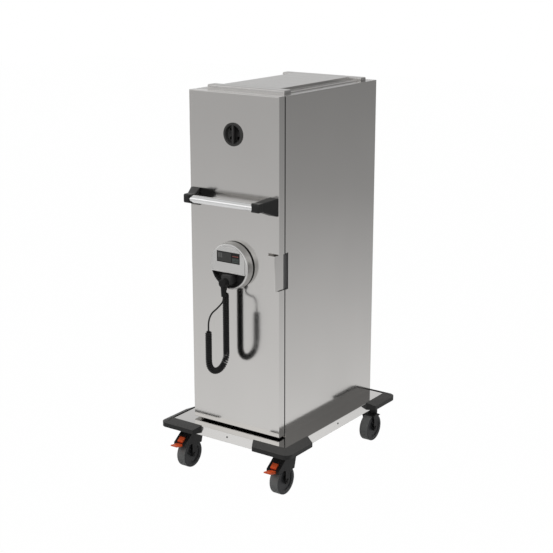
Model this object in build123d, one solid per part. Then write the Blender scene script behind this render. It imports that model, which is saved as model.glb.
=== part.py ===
from build123d import *
import math
import os

# Heated food transport container on casters: an insulated stainless cabinet with a hinged
# door, standing on a deck with corner bumpers and four swivel casters.
# Millimetres. +Z up, floor at Z = 0, the door faces -Y and its hinges are on the -X side.
# The origin is the middle of the footprint on the floor.

os.makedirs("parts", exist_ok=True)

# Cabinet
cabinet_width = 456.0
cabinet_depth = 702.0
cabinet_height = 1451.0
sheet = 1.2
wall_side = 50.0
wall_rear = 50.0
wall_floor = 50.0
wall_top = 60.0
frame_depth = 24.0

# Stepped relief of the top
top_step_inset = 40.0
top_step_height = 4.6
top_panel_inset = 84.0
top_panel_height = 12.4
top_relief_front = 37.5
top_relief_rear = 57.0
top_front_bar_inset = 33.0
top_front_bar_width = 47.0
top_rear_bar_inset = 21.0
top_rear_bar_width = 40.0
top_bar_edge_radius = 5.0

# Tray rails
rail_width = 24.0
rail_height = 28.0
rail_length = 560.0
rail_pitch = 112.0
rail_first_height = 96.0
rail_top_room = 80.0
rail_rear_gap = 12.0

# Deck
deck_width = 612.0
deck_flange = 44.0
deck_sheet = 2.0
deck_lead = 110.0
deck_rear_ledge = 4.0
beam_width = 30.0
deck_screw_radius = 4.0
deck_screw_head = 1.6
deck_screw_drop = 19.0

# Corner bumpers
bumper_out = 36.0
bumper_drop = 30.0
bumper_slope = 15.0
bumper_rise = 1.0
bumper_arm = 165.0
bumper_taper = 20.0
bumper_corner_radius = 30.0

# Door
door_thickness = 39.0
door_gap = 7.0
door_floor_gap = 8.5
door_top_rise = 1.0
door_edge_radius = 2.5
gasket_inset = 32.0
gasket_width = 14.0
gasket_clearance = 0.3

# Door hinges
hinge_offset = 7.0
hinge_barrel_radius = 6.0
hinge_pin_radius = 3.0
hinge_leaf_thickness = 2.0
hinge_leaf_width = 30.0
hinge_height = 80.0
hinge_heights = (150.0, 725.0, 1300.0)
hinge_split_gap = 0.4
hinge_barrel_room = 3.0

# Door latch
latch_height = 730.0
latch_notch_height = 156.0
latch_notch_width = 24.0
latch_keeper_depth = 20.0
latch_keeper_width = 32.0
latch_plate_width = 60.0
latch_stand_off = 18.0
latch_steel = 3.0
latch_barrel_radius = 6.0
latch_pin_radius = 3.0
latch_end_gap = 1.0
latch_liner = 2.0
latch_tongue_reach = 15.0

# Push handle
handle_height = 1012.0
handle_reach = 78.0
handle_bar_radius = 16.0
handle_groove_radius = 1.2
handle_groove_count = 12
bracket_front = 95.0
bracket_shoulder = 62.0
bracket_foot_inset = 2.0
bracket_foot_width = 48.0
bracket_outer_slant = 32.0
bracket_inner_slant = 24.5
bracket_foot_drop = 45.0
bracket_foot_rise = 32.0
bracket_nose_half_height = 18.5
bracket_socket = 12.0
bracket_edge_radius = 9.0

# Vent in the upper door
vent_height = 1284.0
vent_radius = 48.5
vent_knob_radius = 41.0
vent_rim_proud = 5.0
vent_wall = 2.5
vent_dish_depth = 20.0
vent_floor = 3.0
vent_ridge_width = 9.0
vent_hole_radius = 8.0
vent_hole_circle = 25.0
vent_hole_count = 4
vent_pivot_radius = 4.0

# Control unit on the door
unit_height = 735.0
unit_base_radius = 101.3
unit_front_radius = 97.5
unit_depth = 41.0
unit_seal = 4.0
unit_wall = 2.5
unit_edge_radius = 6.0
scoop_lip_drop = 26.0
scoop_radius = 91.0
scoop_floor = 12.0
scoop_wall = 2.0
fascia_half_width = 83.0
fascia_proud = 2.0
fascia_lip_proud = 5.0
fascia_lip_height = 4.0
fascia_top = 84.0
display_width = 118.0
display_height = 46.0
display_centre = 40.0
display_thickness = 1.6
board_thickness = 1.6
board_margin = 5.0

# Heater and fan in the door behind the control unit
heater_bore = 60.0
heater_wall = 2.0
motor_radius = 34.0
motor_front_gap = 4.0
shaft_radius = 4.0
fan_radius = 62.0
fan_blade_count = 12
fan_blade_length = 18.0
fan_blade_thickness = 1.5
fan_disc = 2.0
fan_gap = 4.0
element_radius = 84.0
element_rod_radius = 4.0
element_post_radius = 3.0
element_post_angles = (45, 135, 225, 315)
cover_half_width = 115.0
cover_depth = 37.0
cover_hole_radius = 5.0
cover_hole_pitch = 16.0
cover_slot_width = 12.0
cover_slot_height = 60.0

# Socket block, plug and cord gland under the control unit
block_half_width = 22.0
block_bottom = -73.0
block_top = -33.0
block_front = 62.0
plug_radius = 18.0
plug_drop = 63.0
plug_thickness = 28.0
plug_boot_axis = 78.0
plug_boot_end = -120.0
plug_boot_top_radius = 12.3
plug_boot_end_radius = 9.0
plug_pin_radius = 2.4
plug_pin_spread = 9.5
plug_pin_length = 19.0
gland_top_radius = 7.5
gland_end_radius = 5.5
gland_length = 28.0

# Curly cord, in the plane square to the door through the gland
cord_diameter = 7.0
curl_outer_diameter = 28.0
cord_plane = -9.5
cord_near = 50.0
cord_far = 170.0
cord_bend_drop = 377.5
cord_far_top = -257.0
curl_gap = 0.65
curl_start_drop = 12.0

# Casters
caster_height = 187.0
wheel_diameter = 125.0
wheel_width = 44.0
wheel_trail = 20.0
caster_half_track = 252.0
front_swivel_inset = 71.5
rear_swivel_inset = 17.0
tyre_thickness = 14.0
hub_radius = 15.0
axle_radius = 6.0
axle_cap_radius = 9.0
axle_cap_height = 3.0
running_gap = 0.06
side_gap = 0.3
fork_wall = 7.0
fork_side_room = 2.5
fork_top_room = 4.5
fork_leg_half_width = 16.0
fork_groove_wall = 1.5
fork_groove_depth = 7.0
wheel_dish_depth = 3.0
hood_bottom = 105.0
hood_front = 88.0
hood_front_bottom = 116.0
hood_front_top = 128.0
hood_rear_low = 29.0
hood_rear_high = 43.0
hood_shoulder = 158.0
hood_crown_front = 30.0
hood_crown_top = 170.0
saddle_room = 2.5
saddle_wall = 3.5
saddle_edge_radius = 5.0
saddle_bottom = 117.0
saddle_front = 40.0
neck_radius = 22.5
mount_flange_radius = 32.0
mount_flange_thickness = 5.0
mount_stem_radius = 8.0
mount_stem_length = 30.0
mount_stud_length = 12.0
head_radius = 27.0

# Caster brakes, on the front pair
pedal_reach = 129.5
pedal_half_width = 17.0
pedal_thickness = 9.0
pedal_tip_thickness = 5.0
pedal_tip_lift = 6.0
lever_half_width = 14.0
lever_side_gap = 1.5
lever_slot_rear = 58.0
lever_pivot_y = 74.0
lever_pivot_z = 121.0
lever_pin_radius = 3.0
lever_rear = 63.0
lever_front = 84.0
release_thickness = 6.0
release_overhang = 3.0

# Places worked out from the sizes
deck_top = caster_height + deck_flange
deck_length = deck_lead + cabinet_depth + deck_rear_ledge
deck_front = -(front_swivel_inset - pedal_reach + deck_length + bumper_out) / 2
deck_rear = deck_front + deck_length
cabinet_front = deck_front + deck_lead
cabinet_rear = cabinet_front + cabinet_depth
cabinet_half = cabinet_width / 2
cabinet_top = deck_top + cabinet_height
cavity_half = cabinet_half - wall_side
cavity_floor = deck_top + wall_floor
cavity_top = cabinet_top - wall_top
cavity_rear = cabinet_rear - wall_rear
liner_front = cabinet_front + frame_depth
door_back = cabinet_front - door_gap
door_front = door_back - door_thickness
door_bottom = deck_top + door_floor_gap
door_top = cabinet_top + door_top_rise
hinge_x = -cabinet_half - hinge_offset
hinge_y = cabinet_front - door_gap / 2
latch_z = deck_top + latch_height
latch_low = latch_z - latch_notch_height / 2
latch_high = latch_z + latch_notch_height / 2
notch_inner = cabinet_half - latch_notch_width
keeper_inner = cabinet_half - latch_keeper_width
keeper_rear = cabinet_front + latch_keeper_depth
unit_z = deck_top + unit_height
unit_front = door_front - unit_depth
handle_z = deck_top + handle_height
bracket_outer_foot = cabinet_half - bracket_foot_inset
bracket_inner_foot = bracket_outer_foot - bracket_foot_width
bracket_outer_nose = bracket_outer_foot - bracket_outer_slant
bracket_inner_nose = bracket_inner_foot - bracket_inner_slant
vent_z = deck_top + vent_height
wheel_radius = wheel_diameter / 2
swivel_front = deck_front + front_swivel_inset
swivel_rear = deck_rear - rear_swivel_inset


def block(x0, x1, y0, y1, z0, z1):
    """Box from its six limits."""
    centre = Pos((x0 + x1) / 2, (y0 + y1) / 2, (z0 + z1) / 2)
    return centre * Box(x1 - x0, y1 - y0, z1 - z0)


def rod_x(radius, x0, x1, y, z):
    """Cylinder along X."""
    return Pos((x0 + x1) / 2, y, z) * Rot(0, 90, 0) * Cylinder(radius, x1 - x0)


def rod_y(radius, x, y0, y1, z):
    """Cylinder along Y."""
    return Pos(x, (y0 + y1) / 2, z) * Rot(90, 0, 0) * Cylinder(radius, y1 - y0)


def rod_z(radius, x, y, z0, z1):
    """Cylinder along Z."""
    return Pos(x, y, (z0 + z1) / 2) * Cylinder(radius, z1 - z0)


def prism_x(points, x0, x1):
    """Side outline, a list of (y, z), extruded along X."""
    face = make_face(Plane.YZ * Polyline(*points, close=True))
    return Pos(x0, 0, 0) * extrude(face, amount=x1 - x0, dir=(1, 0, 0))


def prism_z(points, z0, z1):
    """Plan outline, a list of (x, y), extruded along Z."""
    face = make_face(Polyline(*points, close=True))
    return Pos(0, 0, z0) * extrude(face, amount=z1 - z0, dir=(0, 0, 1))


def turned_y(points, z):
    """Profile, a list of (radius, y), turned about the Y axis at height z."""
    outline = [(radius, y) for radius, y in points]
    face = make_face(Polyline(*outline, close=True))
    return Pos(0, 0, z) * revolve(face, Axis.Y, 360)


def solids_of(shapes):
    """One node that holds several separate solids."""
    return Compound(children=[piece for shape in shapes for piece in shape.solids()])


def save(shape, node):
    """Write one node."""
    export_step(shape, "parts/" + node + ".step")


# Cabinet body

def latch_notch(y0, y1, depth):
    """Space at the right edge where the latch lies."""
    return block(cabinet_half - depth, cabinet_half + 1, y0, y1, latch_low, latch_high)


def make_outer_shell():
    """Side sheets, floor sheet and back sheet; the right one is notched for the latch."""
    rear = cabinet_rear - sheet
    top = cabinet_top - sheet
    inner = cabinet_half - sheet
    floor = block(-inner, inner, cabinet_front, rear, deck_top, deck_top + sheet)
    left = block(-cabinet_half, -inner, cabinet_front, rear, deck_top, top)
    right = block(inner, cabinet_half, cabinet_front, rear, deck_top, top)
    right -= latch_notch(cabinet_front - 1, keeper_rear, latch_keeper_width)
    back = block(-cabinet_half, cabinet_half, rear, cabinet_rear, deck_top, top)
    return solids_of([floor, left, right, back])


relief_front = cabinet_front + top_relief_front + top_front_bar_width
relief_rear = cabinet_rear - top_relief_rear - top_rear_bar_width
step_top = cabinet_top + top_step_height
panel_top = step_top + top_panel_height


def relief(inset, end_gap, z0, z1):
    """One level of the pressed relief between the two bars of the top."""
    half = cabinet_half - inset
    return block(-half, half, relief_front + end_gap, relief_rear - end_gap, z0, z1)


def make_top_panel():
    """Top sheet with its two raised levels, hollow underneath."""
    base = block(-cabinet_half, cabinet_half, cabinet_front, cabinet_rear,
                 cabinet_top - sheet, cabinet_top)
    step = relief(top_step_inset, 0, cabinet_top, step_top)
    panel = relief(top_panel_inset, 0, step_top, panel_top)
    step_hollow = relief(top_step_inset + sheet, sheet, cabinet_top - 2 * sheet, step_top - sheet)
    panel_hollow = relief(top_panel_inset + sheet, sheet, step_top - 2 * sheet, panel_top - sheet)
    return base + step + panel - step_hollow - panel_hollow


def make_top_bar(inset, y0, y1):
    """Folded bar across the top, open underneath."""
    half = cabinet_half - inset
    bar = block(-half, half, y0, y1, cabinet_top, panel_top)
    bar = fillet(bar.edges().group_by(Axis.Z)[-1], top_bar_edge_radius)
    return bar - block(-half + sheet, half - sheet, y0 + sheet, y1 - sheet,
                       cabinet_top - 1, panel_top - top_bar_edge_radius)


def make_top_bars():
    """Stacking bars at the front and rear ends of the relief."""
    front_bar = make_top_bar(top_front_bar_inset, relief_front - top_front_bar_width, relief_front)
    rear_bar = make_top_bar(top_rear_bar_inset, relief_rear, relief_rear + top_rear_bar_width)
    return solids_of([front_bar, rear_bar])


def frame_length(x0, x1, z0, z1):
    """One straight length of the front frame."""
    return block(x0, x1, cabinet_front, liner_front, z0, z1)


def make_front_frame():
    """Plastic frame that joins the shell and the liner round the mouth, built from straight
    lengths that leave room for the keeper pocket."""
    outer = cabinet_half - sheet
    return solids_of([
        frame_length(-outer, outer, deck_top + sheet, cavity_floor),
        frame_length(-outer, outer, cavity_top, cabinet_top - sheet),
        frame_length(-outer, -cavity_half, cavity_floor, cavity_top),
        frame_length(cavity_half, outer, cavity_floor, latch_low),
        frame_length(cavity_half, outer, latch_high, cavity_top),
        frame_length(cavity_half, keeper_inner, latch_low, latch_high),
        block(keeper_inner, outer, keeper_rear, liner_front, latch_low, latch_high),
    ])


def make_inner_liner():
    """Cavity lining, open at the front."""
    outside = block(-cavity_half - sheet, cavity_half + sheet, liner_front,
                    cavity_rear + sheet, cavity_floor - sheet, cavity_top + sheet)
    inside = block(-cavity_half, cavity_half, liner_front - 1, cavity_rear,
                   cavity_floor, cavity_top)
    return outside - inside


def make_insulation():
    """Foam between the shell and the liner."""
    outside = block(-cabinet_half + sheet, cabinet_half - sheet, liner_front,
                    cabinet_rear - sheet, deck_top + sheet, cabinet_top - sheet)
    inside = block(-cavity_half - sheet, cavity_half + sheet, liner_front - 1,
                   cavity_rear + sheet, cavity_floor - sheet, cavity_top + sheet)
    return outside - inside


def make_rails(side):
    """Angle rails on one wall of the cavity; side is -1 or +1."""
    rails = []
    rear = cavity_rear - rail_rear_gap
    height = cavity_floor + rail_first_height
    while height < cavity_top - rail_top_room:
        web = block(cavity_half - sheet, cavity_half, rear - rail_length, rear,
                    height - rail_height, height)
        shelf = block(cavity_half - rail_width, cavity_half, rear - rail_length, rear,
                      height - sheet, height)
        rail = web + shelf
        if side < 0:
            rail = mirror(rail, about=Plane.YZ)
        rails.append(rail)
        height += rail_pitch
    return solids_of(rails)


def make_latch_keeper():
    """Dark pocket in the side of the cabinet that takes the latch tongue."""
    pocket = block(keeper_inner, cabinet_half, cabinet_front, keeper_rear, latch_low, latch_high)
    hollow = block(keeper_inner + latch_liner, cabinet_half + 1, cabinet_front - 1,
                   keeper_rear - latch_liner, latch_low + latch_liner, latch_high - latch_liner)
    return pocket - hollow


# Door hinges

def hinge_leaf(z, lower, side):
    """Leaf with its half of the barrel; side is +1 towards +Y and -1 towards -Y."""
    low = z - hinge_height / 2
    high = z + hinge_height / 2
    split = hinge_split_gap / 2
    barrel_low = low if lower else z + split
    barrel_high = z - split if lower else high
    face = -cabinet_half
    clear = hinge_barrel_radius + hinge_barrel_room
    near = hinge_y + side * clear
    far = hinge_y + side * (hinge_leaf_width + clear)
    leaf = block(face - hinge_leaf_thickness, face, min(near, far), max(near, far), low, high)
    tongue = block(face - hinge_leaf_thickness, face, min(hinge_y, near), max(hinge_y, near),
                   barrel_low, barrel_high)
    barrel = rod_z(hinge_barrel_radius, hinge_x, hinge_y, barrel_low, barrel_high)
    play = 0 if lower else running_gap
    bore = rod_z(hinge_pin_radius + play, hinge_x, hinge_y, low - 1, high + 1)
    return leaf + tongue + barrel - bore


def make_cabinet_hinges():
    """Lower leaves on the cabinet with their fixed pins."""
    pieces = []
    for height in hinge_heights:
        z = deck_top + height
        pieces.append(hinge_leaf(z, True, 1))
        pieces.append(rod_z(hinge_pin_radius, hinge_x, hinge_y,
                            z - hinge_height / 2, z + hinge_height / 2))
    return solids_of(pieces)


def make_door_hinges():
    """Upper leaves on the door, which turn on the pins."""
    return solids_of([hinge_leaf(deck_top + height, False, -1) for height in hinge_heights])


# Deck, bumpers and caster mounts

def make_deck():
    """Folded pan under the cabinet."""
    half = deck_width / 2
    outside = block(-half, half, deck_front, deck_rear, caster_height, deck_top)
    inside = block(-half + deck_sheet, half - deck_sheet, deck_front + deck_sheet,
                   deck_rear - deck_sheet, caster_height - 1, deck_top - deck_sheet)
    return outside - inside


def make_beam(y):
    """Box beam under the deck, bored for its two caster studs."""
    half = deck_width / 2 - deck_sheet
    beam = block(-half, half, y - beam_width / 2, y + beam_width / 2,
                 caster_height, deck_top - deck_sheet)
    hollow = block(-half - 1, half + 1, y - beam_width / 2 + deck_sheet,
                   y + beam_width / 2 - deck_sheet, caster_height + deck_sheet,
                   deck_top - 2 * deck_sheet)
    beam -= hollow
    for x in (-caster_half_track, caster_half_track):
        beam -= rod_z(mount_stem_radius, x, y, caster_height - 1,
                      caster_height + deck_sheet + 1)
    return beam


def make_deck_screws():
    """One button screw at the middle of each flange."""
    z = deck_top - deck_screw_drop
    half = deck_width / 2
    middle = (deck_front + deck_rear) / 2
    return solids_of([
        rod_y(deck_screw_radius, 0, deck_front - deck_screw_head, deck_front, z),
        rod_y(deck_screw_radius, 0, deck_rear, deck_rear + deck_screw_head, z),
        rod_x(deck_screw_radius, half, half + deck_screw_head, middle, z),
        rod_x(deck_screw_radius, -half - deck_screw_head, -half, middle, z),
    ])


def make_bumper(side, end):
    """Corner bumper; side is -1 or +1 along X, end is -1 at the front and +1 at the rear."""
    corner_x = deck_width / 2
    corner_y = deck_length / 2
    low = deck_top - bumper_drop
    edge = deck_top + bumper_rise - bumper_slope
    wide = RectangleRounded(deck_width + 2 * bumper_out, deck_length + 2 * bumper_out,
                            bumper_corner_radius)
    narrow = RectangleRounded(deck_width, deck_length, bumper_rise)
    envelope = extrude(Pos(0, 0, low) * wide, amount=edge - low)
    envelope += loft([Pos(0, 0, edge) * wide, Pos(0, 0, deck_top + bumper_rise) * narrow],
                     ruled=True)
    arm_x = corner_x - bumper_arm
    arm_y = corner_y - bumper_arm
    outer_x = corner_x + bumper_out
    outer_y = corner_y + bumper_out
    plan = [(arm_x, corner_y), (arm_x + bumper_taper, outer_y), (outer_x, outer_y),
            (outer_x, arm_y + bumper_taper), (corner_x, arm_y), (corner_x, corner_y)]
    shape = envelope & prism_z(plan, low - 1, deck_top + bumper_rise + 1)
    if side < 0:
        shape = mirror(shape, about=Plane.YZ)
    if end < 0:
        shape = mirror(shape, about=Plane.XZ)
    return Pos(0, (deck_front + deck_rear) / 2, 0) * shape


def make_caster_mount(x, y):
    """Fixed flange with its stud in the beam and the stem that the fork turns on."""
    flange_low = caster_height - mount_flange_thickness
    flange = rod_z(mount_flange_radius, x, y, flange_low, caster_height)
    stem = rod_z(mount_stem_radius, x, y, flange_low - mount_stem_length, flange_low)
    stud = rod_z(mount_stem_radius, x, y, caster_height, caster_height + mount_stud_length)
    return flange + stem + stud


# Casters

fork_inner = wheel_width / 2 + fork_side_room
fork_outer = fork_inner + fork_wall
head_top = caster_height - mount_flange_thickness - side_gap


def make_hood(x, y, axle_y):
    """Long hood of the braked fork, with room for the brake."""
    outline = [
        (y + head_radius, head_top), (y + hood_rear_high, hood_shoulder),
        (y + hood_rear_low, hood_bottom), (axle_y, hood_bottom), (axle_y, hood_front_bottom),
        (y - hood_front, hood_front_bottom), (y - hood_front, hood_front_top),
        (y - hood_crown_front, hood_crown_top), (y - head_radius, head_top),
    ]
    return prism_x(outline, x - fork_outer, x + fork_outer)


def make_saddle(x, y, axle_y):
    """Round neck on the short cover of the plain fork, which follows the wheel."""
    cover = rod_x(wheel_radius + saddle_room + saddle_wall, x - fork_outer, x + fork_outer,
                  axle_y, wheel_radius)
    cover = fillet(cover.edges().filter_by(GeomType.CIRCLE), saddle_edge_radius)
    cover &= block(x - fork_outer, x + fork_outer, y - saddle_front, y + neck_radius,
                   saddle_bottom, head_top)
    return cover + rod_z(neck_radius, x, y, saddle_bottom, head_top)


def make_fork(x, y, braked):
    """Moulded fork over the wheel, which trails towards -Y."""
    axle_y = y - wheel_trail
    leg_rear = axle_y + fork_leg_half_width
    leg_front = axle_y - fork_leg_half_width
    leg_top = hood_front_bottom if braked else saddle_bottom
    body = make_hood(x, y, axle_y) if braked else make_saddle(x, y, axle_y)
    body += block(x - fork_outer, x + fork_outer, leg_front, leg_rear, wheel_radius, leg_top)
    body += rod_x(fork_leg_half_width, x - fork_outer, x + fork_outer, axle_y, wheel_radius)
    for leg_side in (x - fork_outer, x + fork_inner):
        body -= block(leg_side + fork_groove_wall, leg_side + fork_wall - fork_groove_wall,
                      leg_front - 1, leg_front + fork_groove_depth, wheel_radius, leg_top)
    room = fork_top_room if braked else saddle_room
    wheel_space = rod_x(wheel_radius + room, x - fork_inner, x + fork_inner,
                        axle_y, wheel_radius)
    body -= wheel_space
    body -= rod_x(axle_radius, x - fork_outer - 1, x + fork_outer + 1, axle_y, wheel_radius)
    stem_end = caster_height - mount_flange_thickness - mount_stem_length
    body -= rod_z(mount_stem_radius + running_gap, x, y, stem_end - side_gap, head_top + 1)
    if braked:
        slot_half = lever_half_width + lever_side_gap
        body -= block(x - slot_half, x + slot_half, y - hood_front - 1, y - lever_slot_rear,
                      wheel_radius, head_top)
        body -= rod_x(lever_pin_radius, x - fork_outer - 1, x + fork_outer + 1,
                      y - lever_pivot_y, lever_pivot_z)
        return solids_of([body, make_axle(x, axle_y), make_brake_pin(x, y)])
    return solids_of([body, make_axle(x, axle_y)])


def make_tyre(x, y):
    """Rubber tread with rounded shoulders."""
    half = wheel_width / 2
    ring = rod_x(wheel_radius, x - half, x + half, y, wheel_radius)
    ring = fillet(ring.edges().filter_by(GeomType.CIRCLE), 4)
    return ring - rod_x(wheel_radius - tyre_thickness, x - half - 1, x + half + 1, y, wheel_radius)


def make_wheel_core(x, y):
    """Wheel body with a raised hub and a dished web on each side."""
    rim_radius = wheel_radius - tyre_thickness
    rim_half = wheel_width / 2 - 2
    hub_half = fork_inner - side_gap
    web_half = rim_half - wheel_dish_depth
    core = rod_x(rim_radius, x - rim_half, x + rim_half, y, wheel_radius)
    dish = rod_x(rim_radius - 6, x - rim_half - 1, x - web_half, y, wheel_radius)
    dish += rod_x(rim_radius - 6, x + web_half, x + rim_half + 1, y, wheel_radius)
    core -= dish
    core += rod_x(hub_radius, x - hub_half, x + hub_half, y, wheel_radius)
    return core - rod_x(axle_radius + running_gap, x - hub_half - 1, x + hub_half + 1,
                        y, wheel_radius)


def make_axle(x, y):
    """Axle bolt with a cap at each end."""
    axle = rod_x(axle_radius, x - fork_outer, x + fork_outer, y, wheel_radius)
    for start in (x - fork_outer - axle_cap_height, x + fork_outer):
        axle += rod_x(axle_cap_radius, start, start + axle_cap_height, y, wheel_radius)
    return axle


def slope_height(reach):
    """Height of the hood's front slope at a distance ahead of the swivel axis."""
    share = (reach - hood_crown_front) / (hood_front - hood_crown_front)
    return hood_crown_top + share * (hood_front_top - hood_crown_top)


def make_brake_lever(x, y):
    """Dark rocker inside the hood, turning on its pin."""
    points = [
        (y - lever_rear, lever_pivot_z - 8), (y - lever_rear, slope_height(lever_rear)),
        (y - lever_front, slope_height(lever_front)), (y - lever_front, lever_pivot_z - 8),
    ]
    lever = prism_x(points, x - lever_half_width, x + lever_half_width)
    return lever - rod_x(lever_pin_radius + running_gap, x - lever_half_width - 1,
                         x + lever_half_width + 1, y - lever_pivot_y, lever_pivot_z)


def make_brake_pin(x, y):
    """Pin through both cheeks of the hood."""
    return rod_x(lever_pin_radius, x - fork_outer, x + fork_outer, y - lever_pivot_y, lever_pivot_z)


def make_brake_pads(x, y):
    """Foot tab that locks the wheel, and the upper pad that frees it again."""
    low = lever_pivot_z - pedal_thickness / 2
    high = low + pedal_thickness
    root = y - hood_front - lever_side_gap
    tab = block(x - lever_half_width, x + lever_half_width, root, y - lever_front, low, high)
    tip_high = high + pedal_tip_lift
    pad = prism_x([(root, low), (root, high), (y - pedal_reach, tip_high),
                   (y - pedal_reach, tip_high - pedal_tip_thickness)],
                  x - pedal_half_width, x + pedal_half_width)
    rear_z = slope_height(lever_rear)
    front_z = slope_height(lever_front)
    points = [
        (y - lever_rear, rear_z), (y - lever_rear - release_overhang, rear_z + release_thickness),
        (y - lever_front - release_overhang, front_z + release_thickness),
        (y - lever_front, front_z),
    ]
    upper = prism_x(points, x - lever_half_width, x + lever_half_width)
    return solids_of([tab + pad, upper])


# Door

def make_door_skin():
    """Outer pan of the door, open towards the cabinet."""
    pan = block(-cabinet_half, cabinet_half, door_front, door_back - sheet, door_bottom, door_top)
    pan = fillet(pan.edges().group_by(Axis.Y)[0], door_edge_radius)
    hollow = block(-cabinet_half + sheet, cabinet_half - sheet, door_front + sheet, door_back,
                   door_bottom + sheet, door_top - sheet)
    pan -= hollow
    pan -= latch_notch(door_front - 1, door_back + 1, latch_notch_width)
    pan -= rod_y(vent_radius - vent_rim_proud, 0, door_front - 1, door_front + 3 * sheet, vent_z)
    return pan - rod_y(heater_bore, 0, door_front - 1, door_front + 3 * sheet, unit_z)


def make_door_liner():
    """Flat inner sheet of the door, bored for the vent and the fan."""
    plate = block(-cabinet_half, cabinet_half, door_back - sheet, door_back, door_bottom, door_top)
    plate -= latch_notch(door_front - 1, door_back + 1, latch_notch_width)
    plate -= rod_y(heater_bore, 0, door_back - 2 * sheet, door_back + 1, unit_z)
    for x, z in vent_holes():
        plate -= rod_y(vent_hole_radius, x, door_back - 2 * sheet, door_back + 1, vent_z + z)
    return plate


def make_door_insulation():
    """Foam inside the door."""
    foam = block(-cabinet_half + sheet, cabinet_half - sheet, door_front + sheet,
                 door_back - sheet, door_bottom + sheet, door_top - sheet)
    foam -= latch_notch(door_front - 1, door_back + 1, latch_notch_width)
    foam -= rod_y(vent_radius - vent_rim_proud, 0, door_front, door_back, vent_z)
    return foam - rod_y(heater_bore, 0, door_front, door_back, unit_z)


def make_door_gasket():
    """Rubber seal ring on the back of the door."""
    outer = cabinet_half - gasket_inset
    inner = outer - gasket_width
    low = door_bottom + gasket_inset
    high = door_top - gasket_inset
    ring = block(-outer, outer, door_back, cabinet_front - gasket_clearance, low, high)
    return ring - block(-inner, inner, door_back - 1, cabinet_front + 1,
                        low + gasket_width, high - gasket_width)


# Vent

def vent_holes():
    """Places of the air holes about the vent's axis."""
    step = 2 * math.pi / vent_hole_count
    start = step / 2
    return [(vent_hole_circle * math.cos(start + step * i),
             vent_hole_circle * math.sin(start + step * i)) for i in range(vent_hole_count)]


def make_vent_housing():
    """Round cup through the door with a flange outside and an air grid inside."""
    tube_radius = vent_radius - vent_rim_proud
    bore_radius = vent_knob_radius + side_gap
    back = door_back - sheet
    grid_front = door_front - vent_rim_proud + vent_dish_depth + vent_floor + side_gap
    cup = turned_y([
        (0, back), (tube_radius, back), (tube_radius, door_front), (vent_radius, door_front),
        (vent_radius, door_front - vent_rim_proud + 1.5),
        (vent_radius - 1.5, door_front - vent_rim_proud),
        (bore_radius, door_front - vent_rim_proud), (bore_radius, grid_front), (0, grid_front),
    ], vent_z)
    for x, z in vent_holes():
        cup -= rod_y(vent_hole_radius, x, grid_front - 1, back + 1, vent_z + z)
    return cup + rod_y(vent_pivot_radius, 0, grid_front - vent_floor, grid_front, vent_z)


def make_vent_knob():
    """Turning dish with a grip ridge across it and its own air holes."""
    face = door_front - vent_rim_proud
    floor = face + vent_dish_depth
    back = floor + vent_floor
    wall = vent_knob_radius - vent_wall
    knob = turned_y([
        (0, floor), (wall - 14, floor), (wall - 4, floor - 6), (wall, face),
        (vent_knob_radius, face), (vent_knob_radius, back), (0, back),
    ], vent_z)
    ridge = block(-vent_ridge_width / 2, vent_ridge_width / 2, face, floor,
                  vent_z - wall, vent_z + wall)
    ridge &= rod_y(wall, 0, face, floor, vent_z)
    knob += ridge
    for x, z in vent_holes():
        knob -= rod_y(vent_hole_radius, z, floor - vent_dish_depth / 2, back + 1, vent_z + x)
    return knob - rod_y(vent_pivot_radius + running_gap, 0, back - vent_floor - side_gap,
                        back + 1, vent_z)


# Push handle

def make_handle_bracket(side):
    """Wedge bracket between the door and the bar."""
    foot_low = handle_z - bracket_foot_drop
    foot_high = handle_z + bracket_foot_rise
    nose_low = handle_z - bracket_nose_half_height
    nose_high = handle_z + bracket_nose_half_height
    shoulder = door_front - bracket_shoulder
    nose = door_front - bracket_front
    outline = [(door_front, foot_low), (door_front, foot_high), (shoulder, nose_high),
               (nose, nose_high), (nose, nose_low), (shoulder, nose_low)]
    plan = [(bracket_inner_foot, door_front), (bracket_outer_foot, door_front),
            (bracket_outer_nose, shoulder), (bracket_outer_nose, nose),
            (bracket_inner_nose, nose), (bracket_inner_nose, shoulder)]
    bracket = prism_x(outline, bracket_inner_nose, bracket_outer_foot)
    bracket &= prism_z(plan, foot_low, foot_high)
    bracket = fillet(bracket.edges().group_by(Axis.Y)[0], bracket_edge_radius)
    bracket -= rod_x(handle_bar_radius, bracket_inner_nose - 1,
                     bracket_inner_nose + bracket_socket, door_front - handle_reach, handle_z)
    if side < 0:
        bracket = mirror(bracket, about=Plane.YZ)
    return bracket


def make_handle_bar():
    """Grooved tube between the brackets."""
    half = bracket_inner_nose + bracket_socket
    y = door_front - handle_reach
    bar = rod_x(handle_bar_radius, -half, half, y, handle_z)
    groove_half = bracket_inner_nose - 1
    for i in range(handle_groove_count):
        angle = 2 * math.pi * i / handle_groove_count
        bar -= rod_x(handle_groove_radius, -groove_half, groove_half,
                     y + handle_bar_radius * math.cos(angle),
                     handle_z + handle_bar_radius * math.sin(angle))
    return bar


# Door latch

latch_pin_x = notch_inner + latch_notch_width / 2
latch_pin_y = (door_front + door_back) / 2


def make_latch_housing():
    """Dark lining of the notch in the door's edge, with the pivot pin across it."""
    box = block(notch_inner, cabinet_half, door_front, door_back, latch_low, latch_high)
    hollow = block(notch_inner + latch_liner, cabinet_half + 1, door_front - 1, door_back + 1,
                   latch_low + latch_liner, latch_high - latch_liner)
    box -= hollow
    box -= rod_z(latch_pin_radius, latch_pin_x, latch_pin_y, latch_low - 1, latch_high + 1)
    pin = rod_z(latch_pin_radius, latch_pin_x, latch_pin_y, latch_low, latch_high)
    return solids_of([box, pin])


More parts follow.
